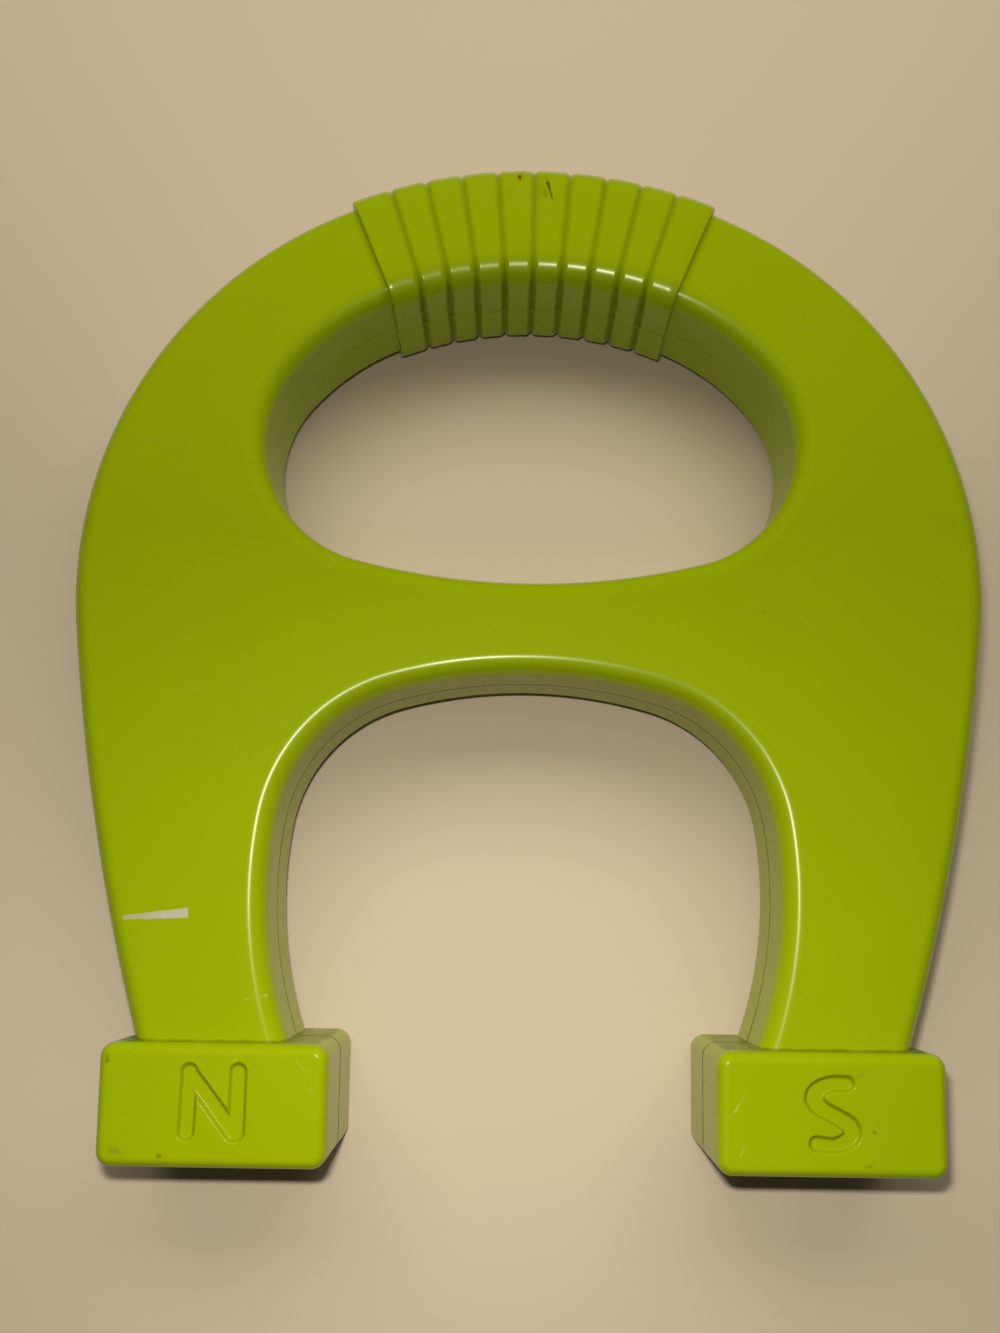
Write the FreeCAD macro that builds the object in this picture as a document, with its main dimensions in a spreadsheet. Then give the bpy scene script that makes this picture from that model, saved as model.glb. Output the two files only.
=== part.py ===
import FreeCAD, Part
import math
import os
import Sketcher

# A large horseshoe magnet in a moulded plastic case, lying flat. Two half shells meet at mid-thickness
# and enclose one ferrite block in each tip. Each shell is drawn about the centre of its grip, with z = 0
# on the seam and the visible face up; the back shell is the same half turned over about the Y axis.

# Driving dimensions in millimetres and degrees.
SIZES = {
    # case
    "body_thickness": 24.0,
    "edge_radius": 4.0,
    "back_bevel": 2.0,
    "wall": 2.5,
    # outer outline
    "grip_outer_radius": 102.6,
    "shoulder_start": 23.7,
    "shoulder_radius": 90.4,
    "leg_outer_radius": 470.0,
    # hand hole
    "grip_inner_radius": 79.8,
    "haunch_start": 21.65,
    "haunch_radius": 52.0,
    "hole_side_radius": 26.2,
    "hole_floor_radius": 146.0,
    "hole_floor_height": 12.2,
    # arch between the legs
    "arch_drop": 7.5,
    "arch_crown_radius": 100.4,
    "arch_crown_spread": 15.9,
    "arch_corner_radius": 33.5,
    "leg_inner_radius": 91.6,
    # ribbed grip
    "rib_count": 10,
    "rib_pitch": 4.4,
    "end_rib_spread": 4.8,
    "rib_height": 1.5,
    "groove_width": 1.9,
    "groove_depth": 0.8,
    # pole tips
    "tip_drop": 83.4,
    "pole_spacing": 121.2,
    "tip_wall": 2.7,
    "tip_corner_radius": 3.0,
    "tip_edge_radius": 2.2,
    "outer_overhang": 5.8,
    "inner_overhang": 8.3,
    # magnets
    "magnet_width": 39.0,
    "magnet_depth": 18.0,
    "magnet_height": 25.0,
    "magnet_chamfer": 0.6,
    "magnet_clearance": 0.3,
}

# How far a cutter reaches past the face that it cuts.
OVERCUT = 1.0
# The most of a width that one rounded edge or corner may take.
ROUND_SHARE = 0.45
# The most of the step from the body up to a tip's face that the tip's rounded or bevelled edge may take.
STEP_SHARE = 0.9

# Expressions in the spreadsheet's values that several features share.
GRIP_WIDTH = "(Dimensions.grip_outer_radius - Dimensions.grip_inner_radius)"
EDGE_ROUND = f"min(Dimensions.edge_radius; {ROUND_SHARE} * {GRIP_WIDTH})"
HOLE_HEIGHT = "(Dimensions.grip_inner_radius - Dimensions.hole_floor_height)"
HOLE_SIDE = f"min(Dimensions.hole_side_radius; {ROUND_SHARE} * {HOLE_HEIGHT})"
TIP_MARGIN = "(Dimensions.magnet_clearance + Dimensions.tip_wall)"
TIP_DEPTH = f"(Dimensions.magnet_depth + 2 * {TIP_MARGIN})"
TIP_HALF_HEIGHT = f"(Dimensions.magnet_height / 2 + {TIP_MARGIN})"
TIP_CENTRE_Y = f"(Dimensions.tip_drop + {TIP_DEPTH} / 2)"
TIP_STEP = f"({TIP_HALF_HEIGHT} - Dimensions.body_thickness / 2)"
TIP_ROUND = f"min(Dimensions.tip_edge_radius; {STEP_SHARE} * {TIP_STEP})"
TIP_BEVEL = f"min(Dimensions.back_bevel; {STEP_SHARE} * {TIP_STEP})"
GRIP_CENTRE_Y = (
    f"(Dimensions.tip_drop + {TIP_DEPTH} - Dimensions.grip_outer_radius - Dimensions.rib_height) / 2"
)
Z_AXIS = FreeCAD.Vector(0, 0, 1)
Y_AXIS = FreeCAD.Vector(0, 1, 0)

doc = FreeCAD.newDocument("HorseshoeMagnet")


def make_sheet(sizes):
    """The spreadsheet that holds every driving dimension under its own alias."""
    table = doc.addObject("Spreadsheet::Sheet", "Dimensions")
    for row, (alias, value) in enumerate(sizes.items(), start=1):
        table.set(f"A{row}", alias)
        table.set(f"B{row}", str(value))
        table.setAlias(f"B{row}", alias)
    doc.recompute()
    return table


sheet = make_sheet(SIZES)


# Plane geometry of the outline

def vector(x, y):
    return FreeCAD.Vector(x, y, 0)


def bearing(degrees):
    """Unit vector at an angle from the +Y axis, clockwise."""
    angle = math.radians(degrees)
    return vector(math.sin(angle), math.cos(angle))


def unit(v):
    return FreeCAD.Vector(v).normalize()


def mirrored(point):
    return vector(-point.x, point.y)


def centre_between(first, reach_first, second, reach_second, side):
    """The point at the given distances from two points, left (+1) or right (-1) of the line joining them."""
    line = second - first
    span = line.Length
    along = (span ** 2 + reach_first ** 2 - reach_second ** 2) / (2 * span)
    across = math.sqrt(reach_first ** 2 - along ** 2)
    ahead = unit(line)
    return first + ahead * along + vector(-ahead.y, ahead.x) * (side * across)


def point_at_height(centre, radius, height):
    """Where a circle's right-hand side crosses a horizontal line."""
    return vector(centre.x + math.sqrt(radius ** 2 - (height - centre.y) ** 2), height)


class Arc:
    """One arc of the right-hand outline, from its upper to its lower end, with its radius as an expression."""

    def __init__(self, centre, radius, upper, lower, size):
        self.centre = centre
        self.upper = centre + upper * radius
        self.lower = centre + lower * radius
        self.size = size


def leg_end_height():
    """The legs run one wall thickness into the tips."""
    return -sheet.tip_drop - sheet.wall


def edge_round():
    return min(sheet.edge_radius, ROUND_SHARE * (sheet.grip_outer_radius - sheet.grip_inner_radius))


def hole_side():
    return min(sheet.hole_side_radius, ROUND_SHARE * (sheet.grip_inner_radius - sheet.hole_floor_height))


def tip_margin():
    return sheet.magnet_clearance + sheet.tip_wall


def tip_half_width():
    return sheet.magnet_width / 2 + tip_margin()


def outer_run(inset, shift):
    """Grip, shoulder and leg on the outside, moved in by inset."""
    end = leg_end_height()
    corner = vector(sheet.pole_spacing / 2 + tip_half_width() - sheet.outer_overhang, end)
    grip_end = bearing(sheet.shoulder_start)
    grip_centre = vector(0, 0)
    shoulder_centre = grip_end * (sheet.grip_outer_radius - sheet.shoulder_radius)
    leg_centre = centre_between(
        shoulder_centre, sheet.leg_outer_radius - sheet.shoulder_radius,
        corner, sheet.leg_outer_radius, -1,
    )
    shoulder_end = unit(shoulder_centre - leg_centre)
    foot = point_at_height(leg_centre, sheet.leg_outer_radius - inset, end + inset)
    return [
        Arc(grip_centre, sheet.grip_outer_radius - inset, Y_AXIS, grip_end,
            f"Dimensions.grip_outer_radius - {shift}"),
        Arc(shoulder_centre, sheet.shoulder_radius - inset, grip_end, shoulder_end,
            f"Dimensions.shoulder_radius - {shift}"),
        Arc(leg_centre, sheet.leg_outer_radius - inset, shoulder_end, unit(foot - leg_centre),
            f"Dimensions.leg_outer_radius - {shift}"),
    ]


def arch_run(inset, shift):
    """Crown, corner and leg of the arch, moved into the case by inset."""
    end = leg_end_height()
    corner = vector(sheet.pole_spacing / 2 - tip_half_width() + sheet.inner_overhang, end)
    crown_end = bearing(sheet.arch_crown_spread)
    crown_centre = vector(0, -sheet.arch_drop - sheet.arch_crown_radius)
    corner_centre = crown_centre + crown_end * (sheet.arch_crown_radius - sheet.arch_corner_radius)
    leg_centre = centre_between(
        corner_centre, sheet.leg_inner_radius - sheet.arch_corner_radius,
        corner, sheet.leg_inner_radius, -1,
    )
    corner_end = unit(corner_centre - leg_centre)
    foot = point_at_height(leg_centre, sheet.leg_inner_radius + inset, end + inset)
    return [
        Arc(crown_centre, sheet.arch_crown_radius + inset, Y_AXIS, crown_end,
            f"Dimensions.arch_crown_radius + {shift}"),
        Arc(corner_centre, sheet.arch_corner_radius + inset, crown_end, corner_end,
            f"Dimensions.arch_corner_radius + {shift}"),
        Arc(leg_centre, sheet.leg_inner_radius + inset, corner_end, unit(foot - leg_centre),
            f"Dimensions.leg_inner_radius + {shift}"),
    ]


def hole_run(inset, shift):
    """Upper edge, haunch, side and floor of the hand hole, moved into the case by inset."""
    upper_end = bearing(sheet.haunch_start)
    haunch_centre = upper_end * (sheet.grip_inner_radius - sheet.haunch_radius)
    floor_centre = vector(0, sheet.hole_floor_height + sheet.hole_floor_radius)
    side_centre = centre_between(
        haunch_centre, sheet.haunch_radius - hole_side(),
        floor_centre, sheet.hole_floor_radius - hole_side(), -1,
    )
    haunch_end = unit(side_centre - haunch_centre)
    side_end = unit(side_centre - floor_centre)
    return [
        Arc(vector(0, 0), sheet.grip_inner_radius + inset, Y_AXIS, upper_end,
            f"Dimensions.grip_inner_radius + {shift}"),
        Arc(haunch_centre, sheet.haunch_radius + inset, upper_end, haunch_end,
            f"Dimensions.haunch_radius + {shift}"),
        Arc(side_centre, hole_side() + inset, haunch_end, side_end, f"{HOLE_SIDE} + {shift}"),
        Arc(floor_centre, sheet.hole_floor_radius + inset, side_end, Y_AXIS * -1,
            f"Dimensions.hole_floor_radius + {shift}"),
    ]


# Sketch helpers

def add_sketch(body, name, role, height="0", turn="0", turn_axis=None):
    """A sketch on one of the body's origin planes, raised and turned as the expressions say."""
    plane = next(item for item in body.Origin.OriginFeatures if item.Role == role)
    sketch = body.newObject("Sketcher::SketchObject", name)
    sketch.AttachmentSupport = [(plane, "")]
    sketch.MapMode = "FlatFace"
    if turn_axis is not None:
        sketch.AttachmentOffset = FreeCAD.Placement(vector(0, 0), FreeCAD.Rotation(turn_axis, 1))
        sketch.setExpression("AttachmentOffset.Rotation.Angle", turn)
    sketch.setExpression("AttachmentOffset.Base.z", height)
    return sketch


def add_arc(sketch, centre, first, last):
    """An arc drawn anticlockwise from first to last."""
    circle = Part.Circle(centre, Z_AXIS, (first - centre).Length)
    start = math.atan2(first.y - centre.y, first.x - centre.x)
    end = math.atan2(last.y - centre.y, last.x - centre.x)
    if end < start:
        end += 2 * math.pi
    return sketch.addGeometry(Part.ArcOfCircle(circle, start, end), False)


def add_line(sketch, first, last):
    return sketch.addGeometry(Part.LineSegment(first, last), False)


def bind(sketch, constraint, name, expression):
    """Adds a dimension to a sketch and ties it to the spreadsheet."""
    number = sketch.addConstraint(constraint)
    sketch.renameConstraint(number, name)
    sketch.setExpression(f"Constraints.{name}", expression)


def join(sketch, path, smooth):
    """Joins a closed path of (geometry, entry end, exit end), tangent where both neighbours are arcs."""
    for here, there in zip(path, path[1:] + path[:1]):
        kind = "Tangent" if here[0] in smooth and there[0] in smooth else "Coincident"
        sketch.addConstraint(Sketcher.Constraint(kind, here[0], here[2], there[0], there[1]))


def draw_run(sketch, run, prefix, closed):
    """Draws the arcs of a run on both sides, the first (and in a closed run the last) across the axis."""
    first = run[0]
    sides = run[1:-1] if closed else run[1:]
    top = add_arc(sketch, first.centre, first.lower, mirrored(first.lower))
    right = [add_arc(sketch, arc.centre, arc.lower, arc.upper) for arc in sides]
    left = [add_arc(sketch, mirrored(arc.centre), mirrored(arc.upper), mirrored(arc.lower)) for arc in sides]
    bind(sketch, Sketcher.Constraint("Radius", top, (first.lower - first.centre).Length),
         f"{prefix}_radius_0", first.size)
    for number, (arc, twin, shape) in enumerate(zip(right, left, sides), start=1):
        bind(sketch, Sketcher.Constraint("Radius", arc, (shape.lower - shape.centre).Length),
             f"{prefix}_radius_{number}", shape.size)
        sketch.addConstraint(Sketcher.Constraint("Equal", arc, twin))
    if not closed:
        return left[::-1] + [top] + right
    last = run[-1]
    floor = add_arc(sketch, last.centre, mirrored(last.upper), last.upper)
    bind(sketch, Sketcher.Constraint("Radius", floor, (last.upper - last.centre).Length),
         f"{prefix}_radius_{len(run) - 1}", last.size)
    return [top] + right + [floor] + left[::-1]


def draw_case(sketch, prefix, inset, shift):
    """The closed outline of both legs and the hand hole, both moved into the case by inset."""
    outer = outer_run(inset, shift)
    arch = arch_run(inset, shift)
    outside = draw_run(sketch, outer, f"{prefix}_outer", False)
    inside = draw_run(sketch, arch, f"{prefix}_arch", False)
    right_foot = add_line(sketch, outer[-1].lower, arch[-1].lower)
    left_foot = add_line(sketch, mirrored(arch[-1].lower), mirrored(outer[-1].lower))
    path = [(arc, 2, 1) for arc in outside] + [(right_foot, 1, 2)]
    path += [(arc, 1, 2) for arc in inside[::-1]] + [(left_foot, 1, 2)]
    join(sketch, path, outside + inside)
    hole = draw_run(sketch, hole_run(inset, shift), f"{prefix}_hole", True)
    join(sketch, [(arc, 2, 1) for arc in hole], hole)


def draw_block(sketch, prefix, side, margin, margin_text):
    """A rectangle in the middle of one tip, larger than its magnet by a margin on every side."""
    centre_x = side * sheet.pole_spacing / 2
    centre_y = -sheet.tip_drop - sheet.magnet_depth / 2 - tip_margin()
    half_width = sheet.magnet_width / 2 + margin
    half_depth = sheet.magnet_depth / 2 + margin
    x0, x1 = centre_x - half_width, centre_x + half_width
    y0, y1 = centre_y - half_depth, centre_y + half_depth
    corners = [vector(x0, y0), vector(x1, y0), vector(x1, y1), vector(x0, y1)]
    lines = [add_line(sketch, here, there) for here, there in zip(corners, corners[1:] + corners[:1])]
    join(sketch, [(line, 1, 2) for line in lines], [])
    for line, kind in zip(lines, ("Horizontal", "Vertical", "Horizontal", "Vertical")):
        sketch.addConstraint(Sketcher.Constraint(kind, line))
    middle_x = f"{side} * Dimensions.pole_spacing / 2"
    reach_x = f"(Dimensions.magnet_width / 2 + {margin_text})"
    reach_y = f"(Dimensions.magnet_depth / 2 + {margin_text})"
    for name, kind, line, value, text in (
        ("low_x", "DistanceX", lines[0], x0, f"{middle_x} - {reach_x}"),
        ("low_y", "DistanceY", lines[0], y0, f"-{TIP_CENTRE_Y} - {reach_y}"),
        ("high_x", "DistanceX", lines[2], x1, f"{middle_x} + {reach_x}"),
        ("high_y", "DistanceY", lines[2], y1, f"-{TIP_CENTRE_Y} + {reach_y}"),
    ):
        bind(sketch, Sketcher.Constraint(kind, line, 1, value), f"{prefix}_{name}", text)


# Solid features

def add_feature(body, kind, name, **settings):
    feature = body.newObject(f"PartDesign::{kind}", name)
    for key, value in settings.items():
        setattr(feature, key, value)
    return feature


def add_pad(body, name, sketch, length):
    pad = add_feature(body, "Pad", name, Profile=sketch)
    pad.setExpression("Length", length)
    doc.recompute()
    return pad


def add_pocket(body, name, sketch, depth):
    """A cut upwards from the seam, checked to take material away."""
    before = body.Shape.Volume
    pocket = add_feature(body, "Pocket", name, Profile=sketch, Reversed=True)
    pocket.setExpression("Length", depth)
    doc.recompute()
    if body.Shape.Volume >= before:
        raise RuntimeError(f"{name} removes nothing")
    return pocket


def add_edge_feature(body, kind, name, base, edges, setting, expression):
    feature = add_feature(body, kind, name, Base=(base, edges))
    feature.setExpression(setting, expression)
    doc.recompute()
    return feature


def edges_where(feature, wanted):
    """Names of a feature's edges that a test picks out."""
    return [f"Edge{number}" for number, edge in enumerate(feature.Shape.Edges, start=1) if wanted(edge)]


def lies_at(edge, height):
    box = edge.BoundBox
    return abs(box.ZMin - height) < 1e-4 and abs(box.ZMax - height) < 1e-4


def stands_upright(edge):
    box = edge.BoundBox
    return box.XLength < 1e-4 and box.YLength < 1e-4


# Shell

def add_rim(body, name, base, edges, rounded, radius, bevel):
    """Rounds the edges of the face that shows, or bevels those of the plain underside."""
    if rounded:
        return add_edge_feature(body, "Fillet", name, base, edges, "Radius", radius)
    return add_edge_feature(body, "Chamfer", name, base, edges, "Size", bevel)


def add_plate(body, rounded):
    """The horseshoe itself."""
    sketch = add_sketch(body, "Outline", "XY_Plane")
    draw_case(sketch, "case", 0, "0")
    plate = add_pad(body, "Plate", sketch, "Dimensions.body_thickness / 2")
    top = sheet.body_thickness / 2
    edges = edges_where(plate, lambda edge: lies_at(edge, top) and isinstance(edge.Curve, Part.Circle))
    return add_rim(body, "FaceEdges", plate, edges, rounded, EDGE_ROUND, "Dimensions.back_bevel")


def add_tips(body, rounded):
    """The two thicker blocks at the ends of the legs."""
    sketch = add_sketch(body, "TipOutlines", "XY_Plane")
    for prefix, side in (("left", -1), ("right", 1)):
        draw_block(sketch, prefix, side, tip_margin(), TIP_MARGIN)
    tips = add_pad(body, "Tips", sketch, TIP_HALF_HEIGHT)
    top = sheet.magnet_height / 2 + tip_margin()
    uprights = edges_where(tips, lambda edge: stands_upright(edge) and abs(edge.Length - top) < 1e-4)
    corners = add_edge_feature(
        body, "Fillet", "TipCorners", tips, uprights, "Radius", "Dimensions.tip_corner_radius")
    rims = edges_where(corners, lambda edge: lies_at(edge, top))
    return add_rim(body, "TipEdges", corners, rims, rounded, TIP_ROUND, TIP_BEVEL)


def band_reach(rounded):
    """Inner and outer radius, top and corner size of the raised band."""
    inner = sheet.grip_inner_radius - sheet.rib_height
    outer = sheet.grip_outer_radius + sheet.rib_height
    top = sheet.body_thickness / 2 + sheet.rib_height
    corner = (edge_round() if rounded else sheet.back_bevel) + sheet.rib_height
    return inner, outer, top, corner


def add_corner(sketch, inside, first, last, rounded):
    """A quarter round about an inside point, or the bevel across it."""
    return add_arc(sketch, inside, first, last) if rounded else add_line(sketch, first, last)


def add_grip(body, rounded):
    """The raised band of the grip, turned about the grip's centre."""
    inner, outer, top, corner = band_reach(rounded)
    sketch = add_sketch(body, "GripSection", "YZ_Plane")
    base = add_line(sketch, vector(inner, 0), vector(outer, 0))
    outer_side = add_line(sketch, vector(outer, 0), vector(outer, top - corner))
    outer_corner = add_corner(
        sketch, vector(outer - corner, top - corner),
        vector(outer, top - corner), vector(outer - corner, top), rounded)
    face = add_line(sketch, vector(outer - corner, top), vector(inner + corner, top))
    inner_corner = add_corner(
        sketch, vector(inner + corner, top - corner),
        vector(inner + corner, top), vector(inner, top - corner), rounded)
    inner_side = add_line(sketch, vector(inner, top - corner), vector(inner, 0))
    parts = [base, outer_side, outer_corner, face, inner_corner, inner_side]
    join(sketch, [(part, 1, 2) for part in parts], [])
    for line, kind in ((base, "Horizontal"), (face, "Horizontal"),
                       (outer_side, "Vertical"), (inner_side, "Vertical")):
        sketch.addConstraint(Sketcher.Constraint(kind, line))
    corner_text = f"{EDGE_ROUND if rounded else 'Dimensions.back_bevel'} + Dimensions.rib_height"
    for name, constraint, text in (
        ("inner", Sketcher.Constraint("DistanceX", inner_side, 1, inner),
         "Dimensions.grip_inner_radius - Dimensions.rib_height"),
        ("outer", Sketcher.Constraint("DistanceX", outer_side, 1, outer),
         "Dimensions.grip_outer_radius + Dimensions.rib_height"),
        ("top", Sketcher.Constraint("DistanceY", face, 1, top),
         "Dimensions.body_thickness / 2 + Dimensions.rib_height"),
        ("outer_side", Sketcher.Constraint("DistanceY", outer_side, 1, outer_side, 2, top - corner),
         f"Dimensions.body_thickness / 2 + Dimensions.rib_height - ({corner_text})"),
        ("inner_side", Sketcher.Constraint("DistanceY", inner_side, 2, inner_side, 1, top - corner),
         f"Dimensions.body_thickness / 2 + Dimensions.rib_height - ({corner_text})"),
    ):
        bind(sketch, constraint, name, text)
    grip = add_feature(
        body, "Revolution", "Grip", Profile=sketch, ReferenceAxis=(sketch, ["V_Axis"]), Midplane=True)
    grip.setExpression(
        "Angle", "(Dimensions.rib_count - 2) * Dimensions.rib_pitch + 2 * Dimensions.end_rib_spread")
    doc.recompute()
    return grip


def add_grooves(body, rounded):
    """The grooves between the ribs: one V carried over the grip from seam to seam, then repeated round it."""
    inner, outer, top, corner = band_reach(rounded)
    first_turn = "(Dimensions.rib_count - 2) * Dimensions.rib_pitch / 2"
    path = add_sketch(body, "GroovePath", "YZ_Plane", turn=first_turn, turn_axis=Y_AXIS)
    add_line(path, vector(outer, -OVERCUT), vector(outer, top - corner))
    add_corner(path, vector(outer - corner, top - corner),
               vector(outer, top - corner), vector(outer - corner, top), rounded)
    add_line(path, vector(outer - corner, top), vector(inner + corner, top))
    add_corner(path, vector(inner + corner, top - corner),
               vector(inner + corner, top), vector(inner, top - corner), rounded)
    add_line(path, vector(inner, top - corner), vector(inner, -OVERCUT))

    half_width = sheet.groove_width / 2 * (1 + OVERCUT / sheet.groove_depth)
    bottom = vector(0, outer - sheet.groove_depth)
    left = vector(-half_width, outer + OVERCUT)
    right = vector(half_width, outer + OVERCUT)
    profile = add_sketch(
        body, "GrooveSection", "XY_Plane", height=str(-OVERCUT), turn=first_turn, turn_axis=Z_AXIS)
    for here, there in ((bottom, right), (right, left), (left, bottom)):
        add_line(profile, here, there)

    before = body.Shape.Volume
    groove = add_feature(
        body, "SubtractivePipe", "Groove", Profile=profile, Spine=path,
        Transition="Transformed" if rounded else "Right corner")
    doc.recompute()
    axis = next(item for item in body.Origin.OriginFeatures if item.Role == "Z_Axis")
    pattern = add_feature(
        body, "PolarPattern", "Grooves", Originals=[groove], Axis=(axis, [""]), Reversed=True)
    pattern.setExpression("Angle", "(Dimensions.rib_count - 2) * Dimensions.rib_pitch")
    pattern.setExpression("Occurrences", "Dimensions.rib_count - 1")
    body.Tip = pattern
    doc.recompute()
    if body.Shape.Volume >= before:
        raise RuntimeError("the grooves remove nothing")
    return pattern


def add_hollows(body):
    """The moulding's hollow inside, and a close pocket for the magnet in each tip."""
    inside = add_sketch(body, "Hollow", "XY_Plane")
    draw_case(inside, "hollow", sheet.wall, "Dimensions.wall")
    add_pocket(body, "CaseHollow", inside, "Dimensions.body_thickness / 2 - Dimensions.wall")
    pockets = add_sketch(body, "MagnetPockets", "XY_Plane")
    for prefix, side in (("left", -1), ("right", 1)):
        draw_block(pockets, prefix, side, sheet.magnet_clearance, "Dimensions.magnet_clearance")
    return add_pocket(
        body, "MagnetHollow", pockets, "Dimensions.magnet_height / 2 + Dimensions.magnet_clearance")


def make_shell(label, rounded):
    """One half of the case, with its edges rounded or, on the underside, bevelled."""
    body = doc.addObject("PartDesign::Body", label)
    body.Label = label
    add_plate(body, rounded)
    add_tips(body, rounded)
    add_grip(body, rounded)
    add_grooves(body, rounded)
    body.Tip = add_hollows(body)
    body.setExpression("Placement.Base.y", GRIP_CENTRE_Y)
    body.setExpression("Placement.Base.z", TIP_HALF_HEIGHT)
    return body


def make_magnet(label, side):
    """A ferrite block with broken edges, in the middle of its tip."""
    body = doc.addObject("PartDesign::Body", label)
    body.Label = label
    block = add_feature(body, "AdditiveBox", f"{label}_block")
    block.setExpression("Length", "Dimensions.magnet_width")
    block.setExpression("Width", "Dimensions.magnet_depth")
    block.setExpression("Height", "Dimensions.magnet_height")
    doc.recompute()
    edges = [f"Edge{number}" for number in range(1, len(block.Shape.Edges) + 1)]
    add_edge_feature(body, "Chamfer", f"{label}_edges", block, edges, "Size", "Dimensions.magnet_chamfer")
    body.setExpression(
        "Placement.Base.x", f"{side} * Dimensions.pole_spacing / 2 - Dimensions.magnet_width / 2")
    body.setExpression(
        "Placement.Base.y", f"{GRIP_CENTRE_Y} - {TIP_CENTRE_Y} - Dimensions.magnet_depth / 2")
    body.setExpression("Placement.Base.z", f"{TIP_HALF_HEIGHT} - Dimensions.magnet_height / 2")
    return body


front_shell = make_shell("front_shell", rounded=True)
back_shell = make_shell("back_shell", rounded=False)
back_shell.Placement.Rotation = FreeCAD.Rotation(Y_AXIS, 180)
north_magnet = make_magnet("north_magnet", -1)
south_magnet = make_magnet("south_magnet", 1)
doc.recompute()

for item in doc.Objects:
    if "Invalid" in item.State or "Error" in item.State:
        raise RuntimeError(f"{item.Label} did not build: {item.State}")

os.makedirs("parts", exist_ok=True)
for body in (front_shell, back_shell, north_magnet, south_magnet):
    if body.Shape.isNull() or not body.Shape.isValid() or len(body.Shape.Solids) != 1:
        raise RuntimeError(f"{body.Label} is not one sound solid")
    body.Shape.exportStep(f"parts/{body.Label}.step")
    box = body.Shape.BoundBox
    print(
        f"{body.Label}: {body.Shape.Volume / 1000:.2f} cm3, "
        f"x {box.XMin:.2f} to {box.XMax:.2f}, y {box.YMin:.2f} to {box.YMax:.2f}, "
        f"z {box.ZMin:.2f} to {box.ZMax:.2f}"
    )
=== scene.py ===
import bpy
import math
import numpy as np
from mathutils import Matrix, Vector, geometry


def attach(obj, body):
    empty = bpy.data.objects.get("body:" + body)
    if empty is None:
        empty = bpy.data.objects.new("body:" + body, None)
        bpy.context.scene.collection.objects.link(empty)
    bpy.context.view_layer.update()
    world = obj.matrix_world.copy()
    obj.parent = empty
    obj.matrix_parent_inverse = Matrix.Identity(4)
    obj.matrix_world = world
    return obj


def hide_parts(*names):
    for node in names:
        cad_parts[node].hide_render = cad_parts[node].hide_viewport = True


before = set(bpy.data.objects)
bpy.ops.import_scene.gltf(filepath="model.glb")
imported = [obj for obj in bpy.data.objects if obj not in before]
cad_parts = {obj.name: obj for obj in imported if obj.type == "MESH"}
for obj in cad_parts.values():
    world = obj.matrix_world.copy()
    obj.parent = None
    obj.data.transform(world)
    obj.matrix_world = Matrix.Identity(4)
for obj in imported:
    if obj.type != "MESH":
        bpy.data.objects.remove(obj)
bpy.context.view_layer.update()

print("frame loaded:", ", ".join(sorted(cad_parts)))

mm = 0.001

# Both half shells are worked out about the middle of the grip with z = 0 on the seam, in millimetres.
place = {"middleY": 1.65, "seamHeight": 15.5}

case = {
    "halfThickness": 12.0, "edgeRadius": 4.0, "seamBevel": 0.16, "spacing": 1.2, "edgeSteps": 14,
    "gripOuter": 102.6, "shoulderStart": 23.7, "shoulder": 90.4, "legOuter": 470.0, "legOuterFoot": (77.3, -85.9),
    "archTop": -7.5, "archCrown": 100.4, "archSpread": 15.9, "archCorner": 33.5, "legInner": 91.6,
    "legInnerFoot": (46.4, -85.9),
    "gripInner": 79.8, "haunchStart": 21.65, "haunch": 52.0, "holeSide": 26.2, "holeFloor": 146.0,
    "holeFloorHeight": 12.2,
}

ribs = {
    "inner": 78.3, "outer": 104.1, "top": 13.5, "corner": 5.5, "count": 10, "pitch": 4.4, "endSpread": 4.8,
    "faceGroove": 1.2, "faceDepth": 0.5, "wallGroove": 1.05, "wallDepth": 0.85, "outerShare": 0.6, "endRound": 0.55,
    "cornerSteps": 12,
}

tips = {
    "centreX": 60.6, "centreY": -95.4, "halfWidth": 22.5, "halfDepth": 12.0, "top": 15.5, "cornerRadius": 3.0,
    "edgeRadius": 2.2, "cornerSteps": 10, "edgeSteps": 10, "fineStep": 0.115, "coarseStep": 2.0,
}

# Pole letters: strokes as chains of (x, y, half width) about the middle of the grip.
letters = {
    "depth": 0.72, "wall": 1.0,
    "north": [
        [(-65.26, -100.24, 1.5), (-64.94, -88.77, 1.5)],
        [(-65.05, -88.9, 1.5), (-56.1, -100.3, 1.6)],
        [(-55.46, -88.63, 1.5), (-55.53, -100.24, 1.55)],
    ],
    "south": [[
        (63.2, -89.2, 1.36), (60.9, -89.2, 1.4), (58.85, -89.7, 1.5), (57.4, -90.75, 1.7), (56.9, -92.2, 1.85),
        (57.85, -93.7, 1.65), (59.4, -94.65, 1.52), (61.4, -95.7, 1.52), (63.25, -96.85, 1.62),
        (64.1, -98.35, 1.68), (63.35, -99.85, 1.58), (61.6, -100.7, 1.4), (60.0, -100.95, 1.3), (57.2, -100.65, 1.36),
    ]],
}


def bearing(degrees):
    # unit vectors at angles from +y, clockwise
    angle = np.radians(degrees)
    return np.stack([np.sin(angle), np.cos(angle)], axis=-1)


def bearingOf(vector):
    return math.degrees(math.atan2(vector[0], vector[1]))


def centreBetween(first, reachFirst, second, reachSecond):
    # crossing of two circles, on the right-hand side of the line from the first centre to the second
    line = second - first
    span = np.hypot(*line)
    along = (span ** 2 + reachFirst ** 2 - reachSecond ** 2) / (2 * span)
    across = math.sqrt(reachFirst ** 2 - along ** 2)
    ahead = line / span
    return first + ahead * along + np.array([ahead[1], -ahead[0]]) * across


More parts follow.
